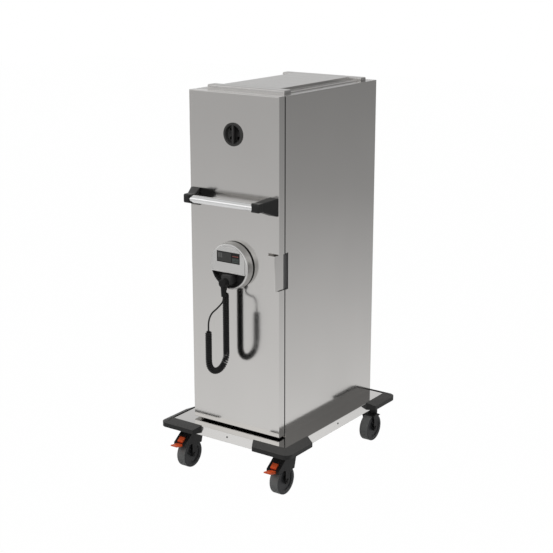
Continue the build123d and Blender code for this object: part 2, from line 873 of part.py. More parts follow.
def make_latch_handle():
    """Bent plate: pull face in front of the door, barrel on the pin, tongue behind."""
    gap = latch_liner + latch_end_gap
    low = latch_low + gap
    high = latch_high - gap
    plate_back = door_front - latch_stand_off
    plate_front = plate_back - latch_steel
    right = latch_pin_x + latch_barrel_radius
    left = right - latch_plate_width
    tongue_end = cabinet_front + latch_tongue_reach
    plan_plate = block(left, right, plate_front, plate_back, low, high)
    web = block(right - latch_steel, right, plate_back, latch_pin_y, low, high)
    tongue = block(right - latch_steel, right, latch_pin_y, tongue_end, low, high)
    hook = block(right - latch_steel, right + latch_steel, tongue_end - latch_steel, tongue_end,
                 low, high)
    barrel = rod_z(latch_barrel_radius, latch_pin_x, latch_pin_y, low, high)
    handle = plan_plate + web + tongue + hook + barrel
    corner = handle.edges().filter_by(Axis.Z).group_by(Axis.Y)[0].sort_by(Axis.X)[-1]
    handle = fillet(corner, latch_steel)
    return handle - rod_z(latch_pin_radius + running_gap, latch_pin_x, latch_pin_y,
                          low - 1, high + 1)


# Control unit

def make_unit_seal():
    """Dark seal ring between the unit and the door."""
    ring = rod_y(unit_base_radius, 0, door_front - unit_seal, door_front, unit_z)
    return ring - rod_y(heater_bore, 0, door_front - unit_seal - 1, door_front + 1, unit_z)


def scoop_segment(radius, y0, y1, top):
    """Part of a disc below a level line, as the scoop has."""
    disc = rod_y(radius, 0, y0, y1, unit_z)
    return disc & block(-radius - 1, radius + 1, y0 - 1, y1 + 1, unit_z - radius - 1, top)


def make_unit_housing():
    """Round casing, open at the back, with the scoop cut out below."""
    back = door_front - unit_seal
    lip = unit_z - scoop_lip_drop
    drum = turned_y([(0, back), (unit_base_radius, back), (unit_front_radius, unit_front),
                     (0, unit_front)], unit_z)
    drum = fillet(drum.edges().filter_by(GeomType.CIRCLE).sort_by(Axis.Y)[0], unit_edge_radius)
    drum -= scoop_segment(scoop_radius, unit_front - 1, back + 1, lip)
    space = rod_y(unit_front_radius - unit_edge_radius, 0, unit_front + unit_wall, back + 1, unit_z)
    space &= block(-unit_base_radius, unit_base_radius, unit_front, back + 2,
                   lip + unit_wall, unit_z + unit_base_radius)
    return drum - space


def make_unit_scoop():
    """Dark pocket below the lip."""
    back = door_front - unit_seal
    lip = unit_z - scoop_lip_drop
    floor = door_front - scoop_floor
    pocket = scoop_segment(scoop_radius, unit_front + unit_wall, back, lip)
    return pocket - scoop_segment(scoop_radius - scoop_wall, unit_front, floor, lip - scoop_wall)


def make_unit_fascia():
    """Front plate above the scoop with a rolled lip and a window pocket."""
    lip = unit_z - scoop_lip_drop
    front = unit_front - fascia_proud
    plate = rod_y(unit_front_radius - unit_edge_radius, 0, front, unit_front, unit_z)
    plate &= block(-fascia_half_width, fascia_half_width, front - 1, unit_front + 1,
                   lip, unit_z + fascia_top)
    half_lip = math.sqrt(unit_front_radius ** 2 - scoop_lip_drop ** 2) - unit_edge_radius
    plate += block(-half_lip, half_lip, unit_front - fascia_lip_proud, unit_front,
                   lip, lip + fascia_lip_height)
    z = unit_z + display_centre
    return plate - block(-display_width / 2, display_width / 2, front - 1,
                         front + display_thickness, z - display_height / 2, z + display_height / 2)


def make_display_window():
    """Dark window of the display."""
    z = unit_z + display_centre
    front = unit_front - fascia_proud
    return block(-display_width / 2, display_width / 2, front, front + display_thickness,
                 z - display_height / 2, z + display_height / 2)


def make_control_board():
    """Circuit board on the inside of the casing front."""
    z = unit_z + display_centre
    half = display_width / 2 + board_margin
    half_height = display_height / 2 - board_margin
    front = unit_front + unit_wall
    return block(-half, half, front, front + board_thickness, z - half_height, z + half_height)


# Heater and fan

fan_front = door_back + fan_gap
cover_back = door_back + cover_depth


def make_heater_sleeve():
    """Sleeve through the door round the fan motor, closed in front."""
    front = door_front - unit_seal
    sleeve = rod_y(heater_bore, 0, front, door_back, unit_z)
    return sleeve - rod_y(heater_bore - heater_wall, 0, front + heater_wall, door_back + 1, unit_z)


def make_fan_motor():
    """Motor on the closed end of the sleeve, with its shaft."""
    front = door_front - unit_seal + heater_wall
    body = rod_y(motor_radius, 0, front, door_back - motor_front_gap, unit_z)
    shaft_end = fan_front + fan_disc + fan_blade_length
    return body + rod_y(shaft_radius, 0, door_back - motor_front_gap, shaft_end, unit_z)


def make_fan_wheel():
    """Backplate with upright blades round a hub."""
    end = fan_front + fan_disc + fan_blade_length
    wheel = rod_y(fan_radius, 0, fan_front, fan_front + fan_disc, unit_z)
    wheel += rod_y(3 * shaft_radius, 0, fan_front, end, unit_z)
    inner = fan_radius / 2
    for i in range(fan_blade_count):
        blade = block(inner, fan_radius, fan_front + fan_disc, end,
                      -fan_blade_thickness / 2, fan_blade_thickness / 2)
        angle = 360 * i / fan_blade_count
        wheel += Pos(0, 0, unit_z) * Rot(0, angle, 0) * blade
    return wheel - rod_y(shaft_radius + running_gap, 0, fan_front - 1, end + 1, unit_z)


def make_heater_element():
    """Round heating rod about the fan on its posts."""
    y = fan_front + fan_blade_length / 2
    ring = Pos(0, y, unit_z) * Rot(90, 0, 0) * Torus(element_radius, element_rod_radius)
    for angle in element_post_angles:
        x = element_radius * math.cos(math.radians(angle))
        z = element_radius * math.sin(math.radians(angle))
        ring += rod_y(element_post_radius, x, door_back, y, unit_z + z)
    return ring


def make_air_cover():
    """Guard over the fan with intake holes in its face and slots in its sides."""
    half = cover_half_width
    cover = block(-half, half, door_back, cover_back, unit_z - half, unit_z + half)
    cover -= block(-half + sheet, half - sheet, door_back - 1, cover_back - sheet,
                   unit_z - half + sheet, unit_z + half - sheet)
    span = int(fan_radius / cover_hole_pitch)
    for i in range(-span, span + 1):
        for j in range(-span, span + 1):
            x = i * cover_hole_pitch
            z = j * cover_hole_pitch
            if math.hypot(x, z) + cover_hole_radius < fan_radius:
                cover -= rod_y(cover_hole_radius, x, cover_back - 2 * sheet, cover_back + 1,
                               unit_z + z)
    middle = (door_back + cover_back) / 2
    for step in (-1, 0, 1):
        z = unit_z + step * (cover_slot_height + cover_slot_width)
        cover -= block(-half - 1, half + 1, middle - cover_slot_width / 2,
                       middle + cover_slot_width / 2,
                       z - cover_slot_height / 2, z + cover_slot_height / 2)
    return cover


# Socket block, plug and cord

block_back = door_front - scoop_floor
socket_face = door_front - block_front
plug_z = unit_z - plug_drop
gland_y = door_front - cord_near
gland_top = unit_z + block_bottom
gland_end = gland_top - gland_length


def make_socket_block():
    """Dark block in the scoop that parks the plug and holds the cord gland."""
    body = block(-block_half_width, block_half_width, socket_face, block_back,
                 gland_top, unit_z + block_top)
    body = fillet(body.edges().filter_by(Axis.Y), 4)
    for x in (-plug_pin_spread, plug_pin_spread):
        body -= rod_y(plug_pin_radius, x, socket_face - 1, socket_face + plug_pin_length, plug_z)
    return body


def make_plug_body():
    """Round angled plug with its boot pointing down and two contact pins."""
    back = socket_face
    front = back - plug_thickness
    head = rod_y(plug_radius, 0, front, back, plug_z)
    head = fillet(head.edges().filter_by(GeomType.CIRCLE).sort_by(Axis.Y)[0], 5)
    boot_y = door_front - plug_boot_axis
    boot_low = unit_z + plug_boot_end
    height = plug_z - boot_low
    boot = Pos(0, boot_y, boot_low + height / 2) * Cone(plug_boot_end_radius,
                                                       plug_boot_top_radius, height)
    body = head + boot
    for x in (-plug_pin_spread, plug_pin_spread):
        body += rod_y(plug_pin_radius, x, socket_face, socket_face + plug_pin_length, plug_z)
    return body


def make_cord_gland():
    """Tapered gland where the cord leaves the block."""
    centre = Pos(cord_plane, gland_y, (gland_top + gland_end) / 2)
    return centre * Cone(gland_end_radius, gland_top_radius, gland_length)


bend_radius = (cord_far - cord_near) / 2
bend_z = unit_z - cord_bend_drop
curl_radius = (curl_outer_diameter - cord_diameter) / 2
curl_start = gland_end - cord_diameter
near_length = curl_start - curl_start_drop - bend_z
bend_length = math.pi * bend_radius
far_length = unit_z + cord_far_top - bend_z
straight_pitch = cord_diameter + curl_gap
bend_pitch = straight_pitch * bend_radius / (bend_radius - curl_radius)


def axis_point(s):
    """Point and direction on the coil's U-shaped axis, s from the near arm's top."""
    if s < near_length:
        return Vector(cord_plane, gland_y, bend_z + near_length - s), Vector(0, 0, -1)
    s -= near_length
    if s < bend_length:
        angle = s / bend_radius
        centre_y = gland_y - bend_radius
        point = Vector(cord_plane, centre_y + bend_radius * math.cos(angle),
                       bend_z - bend_radius * math.sin(angle))
        return point, Vector(0, -math.sin(angle), -math.cos(angle))
    s -= bend_length
    return Vector(cord_plane, gland_y - 2 * bend_radius, bend_z + s), Vector(0, 0, 1)


def coil_turns(s):
    """Turns wound from the near arm's top to s."""
    turns = min(s, near_length) / straight_pitch
    if s > near_length:
        turns += min(s - near_length, bend_length) / bend_pitch
    if s > near_length + bend_length:
        turns += (s - near_length - bend_length) / straight_pitch
    return turns


coil_length = near_length + bend_length + far_length
whole_turns = math.floor(coil_turns(coil_length))


def coil_station(turns):
    """Distance along the axis at a number of turns."""
    low, high = 0.0, coil_length
    for _ in range(60):
        middle = (low + high) / 2
        if coil_turns(middle) < turns:
            low = middle
        else:
            high = middle
    return (low + high) / 2


def curl_point(turns):
    """Point on the curly wire and its direction."""
    s = coil_station(turns)
    centre, ahead = axis_point(s)
    side = Vector(1, 0, 0)
    across = ahead.cross(side)
    angle = 2 * math.pi * turns
    outward = side * math.cos(angle) + across * math.sin(angle)
    round_about = across * math.cos(angle) - side * math.sin(angle)
    in_bend = near_length < s < near_length + bend_length
    pitch = bend_pitch if in_bend else straight_pitch
    drift = outward.Y * (gland_y - bend_radius - centre.Y) + outward.Z * (bend_z - centre.Z)
    stretch = 1 - curl_radius * drift / bend_radius ** 2 if in_bend else 1
    direction = round_about * (2 * math.pi * curl_radius) + ahead * (pitch * stretch)
    return centre + outward * curl_radius, direction.normalized()


def biarc(start, start_dir, end, end_dir):
    """Two tangent arcs from one point and direction to another."""
    span = end - start
    both = start_dir + end_dir
    lean = 2 * (1 - start_dir.dot(end_dir))
    reach = span.dot(both)
    arm = (-reach + math.sqrt(reach ** 2 + lean * span.dot(span))) / lean
    first = start + start_dir * arm
    last = end - end_dir * arm
    joint = (first + last) * 0.5
    joint_dir = (last - first).normalized()
    return [Edge.make_tangent_arc(start, start_dir, joint),
            Edge.make_tangent_arc(joint, joint_dir, end)]


def make_cord_curls():
    """Curly part of the cord: one tube wound round a U, with straight ends on its axis."""
    top = Vector(cord_plane, gland_y, gland_end)
    points = [curl_point(k / 2) for k in range(2 * whole_turns + 1)]
    lead_in = Vector(cord_plane, gland_y, curl_start)
    last_point = points[-1][0]
    lead_out = Vector(cord_plane, gland_y - 2 * bend_radius, last_point.Z + curl_start_drop)
    finish = lead_out + Vector(0, 0, cord_diameter)
    stations = [(lead_in, Vector(0, 0, -1))] + points + [(lead_out, Vector(0, 0, 1))]
    edges = [Edge.make_line(top, lead_in)]
    for (a, a_dir), (b, b_dir) in zip(stations, stations[1:]):
        edges += biarc(a, a_dir, b, b_dir)
    edges.append(Edge.make_line(lead_out, finish))
    radii = [edge.radius for edge in edges if edge.geom_type == GeomType.CIRCLE]
    print("curls:", whole_turns, "tightest arc:", round(min(radii), 2))
    path = Wire(edges)
    print("curly cord: centre line", round(path.length, 1), "mm, least gap to itself",
          round(least_self_gap(edges), 2), "mm")
    section = Plane(origin=top, z_dir=(0, 0, -1)) * Circle(cord_diameter / 2)
    tube = sweep(section, path=path)
    expected = math.pi * (cord_diameter / 2) ** 2 * path.length
    print("curly tube volume over section times length:", round(tube.volume / expected, 4))
    return tube, finish


def least_self_gap(edges):
    """Least clear distance between parts of the wire that are apart along it."""
    points = []
    along = 0.0
    for edge in edges:
        steps = max(2, round(edge.length / 2))
        for i in range(steps):
            points.append((along + edge.length * i / steps, edge.position_at(i / steps)))
        along += edge.length
    apart = 3 * cord_diameter
    reach = 2 * math.pi * curl_radius * 2
    best = math.inf
    for i, (s, p) in enumerate(points):
        for t, q in points[i + 1:]:
            if t - s > reach:
                break
            if t - s > apart:
                best = min(best, (p - q).length)
    return best - cord_diameter


# Route of the lead from the coil's top to the plug's boot: distance along X, distance ahead
# of the door and height below the unit's centre, as it hangs.
lead_route = [
    (cord_plane, cord_far, -228.0),
    (-9.3, 168.0, -208.0),
    (-8.5, 160.0, -189.0),
    (-7.0, 145.0, -174.5),
    (-5.0, 125.5, -167.5),
    (-2.6, 105.1, -157.1),
    (-0.8, 87.8, -147.1),
    (0.0, 81.4, -139.4),
    (0.0, 78.0, -130.0),
]


def make_cord_lead(start):
    """Lead without curls, in straight runs and tangent arcs."""
    boot_end = Vector(0, door_front - plug_boot_axis, unit_z + plug_boot_end)
    points = [start] + [Vector(x, door_front - ahead, unit_z + z) for x, ahead, z in lead_route]
    points.append(boot_end)
    radii = []
    for a, b, c in zip(points, points[1:], points[2:]):
        turn = (b - a).get_angle(c - b)
        run = min((b - a).length, (c - b).length)
        radii.append(0.45 * run / math.tan(math.radians(turn / 2)))
    print("lead radii:", [round(radius, 1) for radius in radii])
    path = FilletPolyline(*points, radius=radii)
    section = Plane(origin=points[0], z_dir=points[1] - points[0]) * Circle(cord_diameter / 2)
    tube = sweep(section, path=path)
    expected = math.pi * (cord_diameter / 2) ** 2 * path.length
    print("lead length:", round(path.length, 1), "volume ratio:", round(tube.volume / expected, 4))
    return tube


# Write every node

save(make_outer_shell(), "outer_shell")
save(make_top_panel(), "top_panel")
save(make_top_bars(), "top_stacking_bars")
save(make_front_frame(), "front_frame")
save(make_inner_liner(), "inner_liner")
save(make_insulation(), "cabinet_insulation")
save(make_rails(-1), "tray_rails_left")
save(make_rails(1), "tray_rails_right")
save(make_latch_keeper(), "latch_keeper")
save(make_cabinet_hinges(), "hinge_leaves_cabinet")
save(make_door_hinges(), "hinge_leaves_door")
save(make_deck(), "deck")
save(solids_of([make_beam(swivel_front), make_beam(swivel_rear)]), "deck_beams")
save(make_deck_screws(), "deck_screws")
save(solids_of([make_bumper(-1, -1), make_bumper(1, -1)]), "bumpers_front")
save(solids_of([make_bumper(-1, 1), make_bumper(1, 1)]), "bumpers_rear")

mounts = []
for end_name, swivel_y in (("front", swivel_front), ("rear", swivel_rear)):
    for side_name, side in (("left", -1), ("right", 1)):
        corner = end_name + "_" + side_name
        x = side * caster_half_track
        braked = end_name == "front"
        mounts.append(make_caster_mount(x, swivel_y))
        save(make_fork(x, swivel_y, braked), "caster_fork_" + corner)
        save(make_wheel_core(x, swivel_y - wheel_trail), "wheel_core_" + corner)
        save(make_tyre(x, swivel_y - wheel_trail), "tyre_" + corner)
        if braked:
            save(make_brake_lever(x, swivel_y), "brake_lever_" + corner)
            save(make_brake_pads(x, swivel_y), "brake_pads_" + corner)
save(solids_of(mounts), "caster_mounts")

save(make_door_skin(), "door_skin")
save(make_door_liner(), "door_liner")
save(make_door_insulation(), "door_insulation")
save(make_door_gasket(), "door_gasket")
save(make_vent_housing(), "vent_housing")
save(make_vent_knob(), "vent_knob")
save(solids_of([make_handle_bracket(-1), make_handle_bracket(1)]), "handle_brackets")
save(make_handle_bar(), "handle_bar")
save(make_latch_housing(), "latch_housing")
save(make_latch_handle(), "latch_handle")
save(make_unit_seal(), "unit_seal")
save(make_unit_housing(), "unit_housing")
save(make_unit_scoop(), "unit_scoop")
save(make_unit_fascia(), "unit_fascia")
save(make_display_window(), "display_window")
save(make_control_board(), "control_board")
save(make_heater_sleeve(), "heater_sleeve")
save(make_fan_motor(), "fan_motor")
save(make_fan_wheel(), "fan_wheel")
save(make_heater_element(), "heater_element")
save(make_air_cover(), "air_cover")
save(make_socket_block(), "socket_block")
save(make_plug_body(), "plug_body")
save(make_cord_gland(), "cord_gland")
curls, curls_end = make_cord_curls()
save(curls, "cord_curls")
save(make_cord_lead(curls_end), "cord_lead")
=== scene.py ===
import math
import bmesh
import bpy
from mathutils import Matrix, Vector


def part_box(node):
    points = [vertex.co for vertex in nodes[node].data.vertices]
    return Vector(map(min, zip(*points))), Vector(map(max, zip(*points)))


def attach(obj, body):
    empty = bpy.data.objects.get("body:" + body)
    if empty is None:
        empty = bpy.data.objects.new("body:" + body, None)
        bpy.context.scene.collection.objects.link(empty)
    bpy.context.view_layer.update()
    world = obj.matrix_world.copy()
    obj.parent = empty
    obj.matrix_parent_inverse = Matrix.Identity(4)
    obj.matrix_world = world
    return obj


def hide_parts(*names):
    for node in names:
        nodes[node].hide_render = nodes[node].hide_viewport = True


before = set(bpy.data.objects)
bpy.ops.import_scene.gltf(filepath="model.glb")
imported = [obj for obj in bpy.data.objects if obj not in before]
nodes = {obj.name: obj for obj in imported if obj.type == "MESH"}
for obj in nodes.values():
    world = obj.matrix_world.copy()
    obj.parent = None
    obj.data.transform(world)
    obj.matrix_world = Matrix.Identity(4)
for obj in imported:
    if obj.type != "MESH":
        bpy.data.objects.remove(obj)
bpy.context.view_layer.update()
scene = bpy.context.scene


# Places read from the frame

def low_of(name, axis):
    """Lowest place of a piece along an axis, to a tenth of a millimetre."""
    return round(getattr(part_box(name)[0], axis), 4)


def high_of(name, axis):
    """Highest place of a piece along an axis, to a tenth of a millimetre."""
    return round(getattr(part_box(name)[1], axis), 4)


def middle_of(name, axis):
    """Middle of a piece along an axis, to a tenth of a millimetre."""
    return round((low_of(name, axis) + high_of(name, axis)) / 2, 4)


door_face = low_of("door_skin", "y")
door_back = high_of("door_liner", "y")
unit_z = middle_of("unit_housing", "z")
display_face = low_of("display_window", "y")
# Band at the back of the casing that is painted black: painted shade where the unit meets the door
seal_shade_band = 0.0028
seal_shade_start = high_of("unit_housing", "y") - seal_shade_band


# Materials

noise_roughness = 0.55
noise_low, noise_high = 0.3, 0.7
steel_patch, plastic_patch = 2.2, 18.0
steel_dark, steel_light = 0.975, 1.02
steel_smoother, steel_rougher = 0.012, 0.018
plastic_smoother, plastic_rougher = 0.05, 0.06
steel_bump, plastic_bump, two_part_bump = 0.25, 0.5, 0.4
two_part_grain = 900.0
two_part_shine = 0.25
fine_detail, patch_detail = 2.0, 3.0
even = (1, 1, 1)
patch_stretch = (1, 1, 0.6)


def new_material(name):
    """Empty material with a Principled shader; gives the material, its tree and the shader."""
    material = bpy.data.materials.new(name)
    material.use_nodes = True
    tree = material.node_tree
    tree.nodes.clear()
    output = tree.nodes.new("ShaderNodeOutputMaterial")
    shader = tree.nodes.new("ShaderNodeBsdfPrincipled")
    tree.links.new(shader.outputs[0], output.inputs[0])
    return material, tree, shader


def noise(tree, scale, stretch=even, detail=fine_detail):
    """Noise in object space, stretched along an axis by a small scale on it."""
    place = tree.nodes.new("ShaderNodeTexCoord")
    mapping = tree.nodes.new("ShaderNodeMapping")
    mapping.inputs["Scale"].default_value = stretch
    texture = tree.nodes.new("ShaderNodeTexNoise")
    texture.inputs["Scale"].default_value = scale
    texture.inputs["Detail"].default_value = detail
    texture.inputs["Roughness"].default_value = noise_roughness
    tree.links.new(place.outputs["Object"], mapping.inputs[0])
    tree.links.new(mapping.outputs[0], texture.inputs["Vector"])
    return texture.outputs["Fac"]


def spread(tree, value, low, high):
    """Noise value mapped to a range."""
    node = tree.nodes.new("ShaderNodeMapRange")
    node.inputs["From Min"].default_value = noise_low
    node.inputs["From Max"].default_value = noise_high
    node.inputs["To Min"].default_value = low
    node.inputs["To Max"].default_value = high
    tree.links.new(value, node.inputs["Value"])
    return node.outputs["Result"]


def tint(tree, value, dark, light):
    """Colour between two tones by a noise value."""
    ramp = tree.nodes.new("ShaderNodeValToRGB")
    ramp.color_ramp.elements[0].position = noise_low
    ramp.color_ramp.elements[0].color = (*dark, 1)
    ramp.color_ramp.elements[1].position = noise_high
    ramp.color_ramp.elements[1].color = (*light, 1)
    tree.links.new(value, ramp.inputs[0])
    return ramp.outputs["Color"]


def add_bump(tree, shader, value, distance, strength):
    """Surface relief from a value."""
    bump = tree.nodes.new("ShaderNodeBump")
    bump.inputs["Strength"].default_value = strength
    bump.inputs["Distance"].default_value = distance
    tree.links.new(value, bump.inputs["Height"])
    tree.links.new(bump.outputs[0], shader.inputs["Normal"])


def steel(name, tone, roughness, stretch, grain=900.0, relief=0.000006):
    """Brushed stainless steel with its grain along the axis that has the small stretch."""
    material, tree, shader = new_material(name)
    shader.inputs["Metallic"].default_value = 1.0
    fine = noise(tree, grain, stretch)
    broad = noise(tree, steel_patch, patch_stretch)
    dark = tuple(c * steel_dark for c in tone)
    light = tuple(min(1.0, c * steel_light) for c in tone)
    tree.links.new(tint(tree, broad, dark, light), shader.inputs["Base Color"])
    rough = spread(tree, fine, roughness - steel_smoother, roughness + steel_rougher)
    tree.links.new(rough, shader.inputs["Roughness"])
    add_bump(tree, shader, fine, relief, steel_bump)
    return material


def plastic(name, tone, roughness, grain=1400.0, relief=0.00004, lighter=1.25, shine=0.25):
    """Moulded plastic or rubber with a fine grain."""
    material, tree, shader = new_material(name)
    shader.inputs["Specular IOR Level"].default_value = shine
    fine = noise(tree, grain)
    broad = noise(tree, plastic_patch, detail=patch_detail)
    light = tuple(min(1.0, c * lighter) for c in tone)
    tree.links.new(tint(tree, broad, tone, light), shader.inputs["Base Color"])
    rough = spread(tree, broad, roughness - plastic_smoother, roughness + plastic_rougher)
    tree.links.new(rough, shader.inputs["Roughness"])
    add_bump(tree, shader, fine, relief, plastic_bump)
    return material


along_x, along_y, along_z = (0.012, 1, 1), (1, 0.012, 1), (1, 1, 0.012)
short_grain = (1, 1, 0.2)
smooth_relief = 0.000003
door_tone = (0.565, 0.553, 0.538)
door_gloss = 0.13
door_steel = steel("door_steel", door_tone, door_gloss, along_z)
side_steel = steel("side_steel", door_tone, door_gloss, along_z)
top_steel = steel("top_steel", (0.525, 0.516, 0.506), 0.28, along_y)
deck_steel = steel("deck_steel", (0.66, 0.65, 0.635), 0.09, along_y, relief=smooth_relief)
unit_steel = steel("unit_steel", (0.60, 0.595, 0.585), 0.27, even, grain=1500.0)
liner_steel = steel("liner_steel", (0.60, 0.60, 0.59), 0.28, along_z)
bright_steel = steel("bright_steel", (0.72, 0.72, 0.71), 0.16, short_grain, grain=600.0)
dull_steel = steel("dull_steel", (0.16, 0.16, 0.16), 0.35, short_grain, grain=600.0)
handle_metal = steel("handle_metal", (0.71, 0.71, 0.71), 0.20, along_x)
black_plastic = plastic("black_plastic", (0.016, 0.016, 0.016), 0.36)
scoop_plastic = plastic("scoop_plastic", (0.065, 0.065, 0.065), 0.55, shine=0.15)
plug_plastic = plastic("plug_plastic", (0.016, 0.016, 0.016), 0.5, shine=0.12)
vent_plastic = plastic("vent_plastic", (0.042, 0.041, 0.040), 0.42)
frame_plastic = plastic("frame_plastic", (0.025, 0.025, 0.026), 0.5, shine=0.15)
# Dark grey for the latch keeper: painted shade of the gap that it sits in
dark_gap = plastic("dark_gap", (0.11, 0.11, 0.11), 0.55, shine=0.1)
ring_rubber = plastic("ring_rubber", (0.006, 0.006, 0.006), 0.6, shine=0.08)
seal_rubber = plastic("seal_rubber", (0.012, 0.012, 0.012), 0.6, shine=0.15)
wheel_plastic = plastic("wheel_plastic", (0.038, 0.039, 0.041), 0.45, shine=0.2)
fork_plastic = plastic("fork_plastic", (0.012, 0.012, 0.012), 0.45, shine=0.15)
orange_plastic = plastic("orange_plastic", (0.86, 0.125, 0.035), 0.42,
                         grain=1200.0, relief=0.00003, lighter=1.06)
cord_rubber = plastic("cord_rubber", (0.010, 0.010, 0.010), 0.38,
                      grain=1500.0, relief=0.00002, shine=0.22)
glass_black = plastic("glass_black", (0.010, 0.010, 0.010), 0.10, grain=2000.0, relief=0.0)
mineral_wool = plastic("mineral_wool", (0.55, 0.48, 0.30), 0.9, grain=300.0, relief=0.0006)
board_green = plastic("board_green", (0.02, 0.12, 0.045), 0.4)
panel_grey = plastic("panel_grey", (0.060, 0.060, 0.058), 0.5)
mark_grey = plastic("mark_grey", (0.19, 0.19, 0.185), 0.5)
mark_red = plastic("mark_red", (0.40, 0.12, 0.105), 0.5)
mark_teal = plastic("mark_teal", (0.075, 0.095, 0.09), 0.5)


def mixed_value(tree, share, near, far):
    """Number between two values by a share."""
    node = tree.nodes.new("ShaderNodeMapRange")
    node.inputs["To Min"].default_value = near
    node.inputs["To Max"].default_value = far
    tree.links.new(share, node.inputs["Value"])
    return node.outputs["Result"]


def mixed_tone(tree, share, near, far):
    """Colour between two tones by a share."""
    ramp = tree.nodes.new("ShaderNodeValToRGB")
    ramp.color_ramp.elements[0].color = (*near, 1)
    ramp.color_ramp.elements[1].color = (*far, 1)
    tree.links.new(share, ramp.inputs[0])
    return ramp.outputs["Color"]


def along_axis(tree, output, axis, start, end):
    """0 up to the start and 1 from the end, by the place or the normal in object space."""
    place = tree.nodes.new("ShaderNodeTexCoord")
    axes = tree.nodes.new("ShaderNodeSeparateXYZ")
    tree.links.new(place.outputs[output], axes.inputs[0])
    reach = tree.nodes.new("ShaderNodeMapRange")
    reach.inputs["From Min"].default_value = start
    reach.inputs["From Max"].default_value = end
    tree.links.new(axes.outputs[axis], reach.inputs["Value"])
    return reach.outputs["Result"]


def two_part(name, share_of, near, far, relief):
    """Finish that changes from one (tone, metallic, roughness) to another by a share."""
    material, tree, shader = new_material(name)
    share = share_of(tree)
    shader.inputs["Specular IOR Level"].default_value = two_part_shine
    tree.links.new(mixed_tone(tree, share, near[0], far[0]), shader.inputs["Base Color"])
    tree.links.new(mixed_value(tree, share, near[1], far[1]), shader.inputs["Metallic"])
    tree.links.new(mixed_value(tree, share, near[2], far[2]), shader.inputs["Roughness"])
    add_bump(tree, shader, noise(tree, two_part_grain), relief, two_part_bump)
    return material


latch_change = 0.001
casing_change = 0.0004
up_start, up_end = 0.45, 0.80
right_start, right_end = 0.55, 0.85


def painted_recess_shade(tree):
    """The latch behind the door's back, painted dark grey and dull as the shade in the recess
    there.
    """
    return along_axis(tree, "Object", "Y", door_back, door_back + latch_change)


def painted_seal_shade(tree):
    """The last few millimetres of the casing before the door, painted black as the contact shade
    between the unit and the door.
    """
    return along_axis(tree, "Object", "Y", seal_shade_start, seal_shade_start + casing_change)


def painted_top_light(tree):
    """Faces that look upwards, which get a painted lighter tone as if lit from above."""
    return along_axis(tree, "Normal", "Z", up_start, up_end)


def painted_tread_light_mask(tree):
    """Flat sides of a wheel on the right; the rest of the tyre, the tread above all, gets a
    painted lighter tone as if lit.
    """
    return along_axis(tree, "Normal", "X", right_start, right_end)


# The latch's part behind the door is painted dark grey, not steel: painted shade of the recess
# between latch and cabinet side
latch_steel_and_shade = two_part("latch_steel_and_shade", painted_recess_shade, (door_tone, 1.0, door_gloss),
                       ((0.14, 0.14, 0.14), 0.0, 0.5), relief=smooth_relief)
# The casing's last few millimetres are painted black and dull: painted contact shade against the
# door
casing_steel_and_shade = two_part("casing_steel_and_shade", painted_seal_shade, ((0.58, 0.575, 0.565), 1.0, 0.40),
                        ((0.006, 0.006, 0.006), 0.0, 0.6), relief=smooth_relief)
# Bumper tops painted lighter than the sides: painted light from above
bumper_rubber = two_part("bumper_rubber", painted_top_light, ((0.016, 0.016, 0.0155), 0.0, 0.48),
                         ((0.062, 0.061, 0.059), 0.0, 0.48), relief=0.00012)
# Tyre tread painted light grey and its right sides dark: painted light on the tread
tyre_rubber = two_part("tyre_rubber", painted_tread_light_mask, ((0.21, 0.215, 0.213), 0.0, 0.62),
                       ((0.042, 0.043, 0.045), 0.0, 0.55), relief=0.0001)


finishes = {
    door_steel: ["door_skin", "latch_housing"],
    latch_steel_and_shade: ["latch_handle"],
    side_steel: ["outer_shell"],
    top_steel: ["top_panel", "top_stacking_bars"],
    deck_steel: ["deck"],
    unit_steel: ["unit_fascia"],
    casing_steel_and_shade: ["unit_housing"],
    liner_steel: ["inner_liner", "door_liner", "tray_rails_left", "tray_rails_right",
                  "deck_beams", "air_cover"],
    bright_steel: ["hinge_leaves_cabinet", "hinge_leaves_door", "caster_mounts",
                   "heater_sleeve", "heater_element", "fan_wheel"],
    dull_steel: ["deck_screws"],
    handle_metal: ["handle_bar"],
    black_plastic: ["handle_brackets", "cord_gland", "fan_motor"],
    scoop_plastic: ["unit_scoop", "socket_block"],
    plug_plastic: ["plug_body"],
    vent_plastic: ["vent_housing", "vent_knob"],
    frame_plastic: ["front_frame"],
    dark_gap: ["latch_keeper"],
    ring_rubber: ["unit_seal"],
    seal_rubber: ["door_gasket"],
    bumper_rubber: ["bumpers_front", "bumpers_rear"],
    glass_black: ["display_window"],
    mineral_wool: ["cabinet_insulation", "door_insulation"],
    board_green: ["control_board"],
}
front_corners = ["front_left", "front_right"]
corners = front_corners + ["rear_left", "rear_right"]
finishes[fork_plastic] = ["caster_fork_" + corner for corner in corners]
finishes[fork_plastic] += ["brake_lever_" + corner for corner in front_corners]
finishes[orange_plastic] = ["brake_pads_" + corner for corner in front_corners]
finishes[wheel_plastic] = ["wheel_core_" + corner for corner in corners]
finishes[tyre_rubber] = ["tyre_" + corner for corner in corners]


def paint(obj, material):
    """Every material slot of an object gets one material."""
    if not obj.material_slots:
        obj.data.materials.append(material)
    for slot in obj.material_slots:
        slot.link = "OBJECT"
        slot.material = material


for material, names in finishes.items():
    for name in names:
        paint(nodes[name], material)


# Rounded edges on the CAD solids, and slightly fuller bumpers

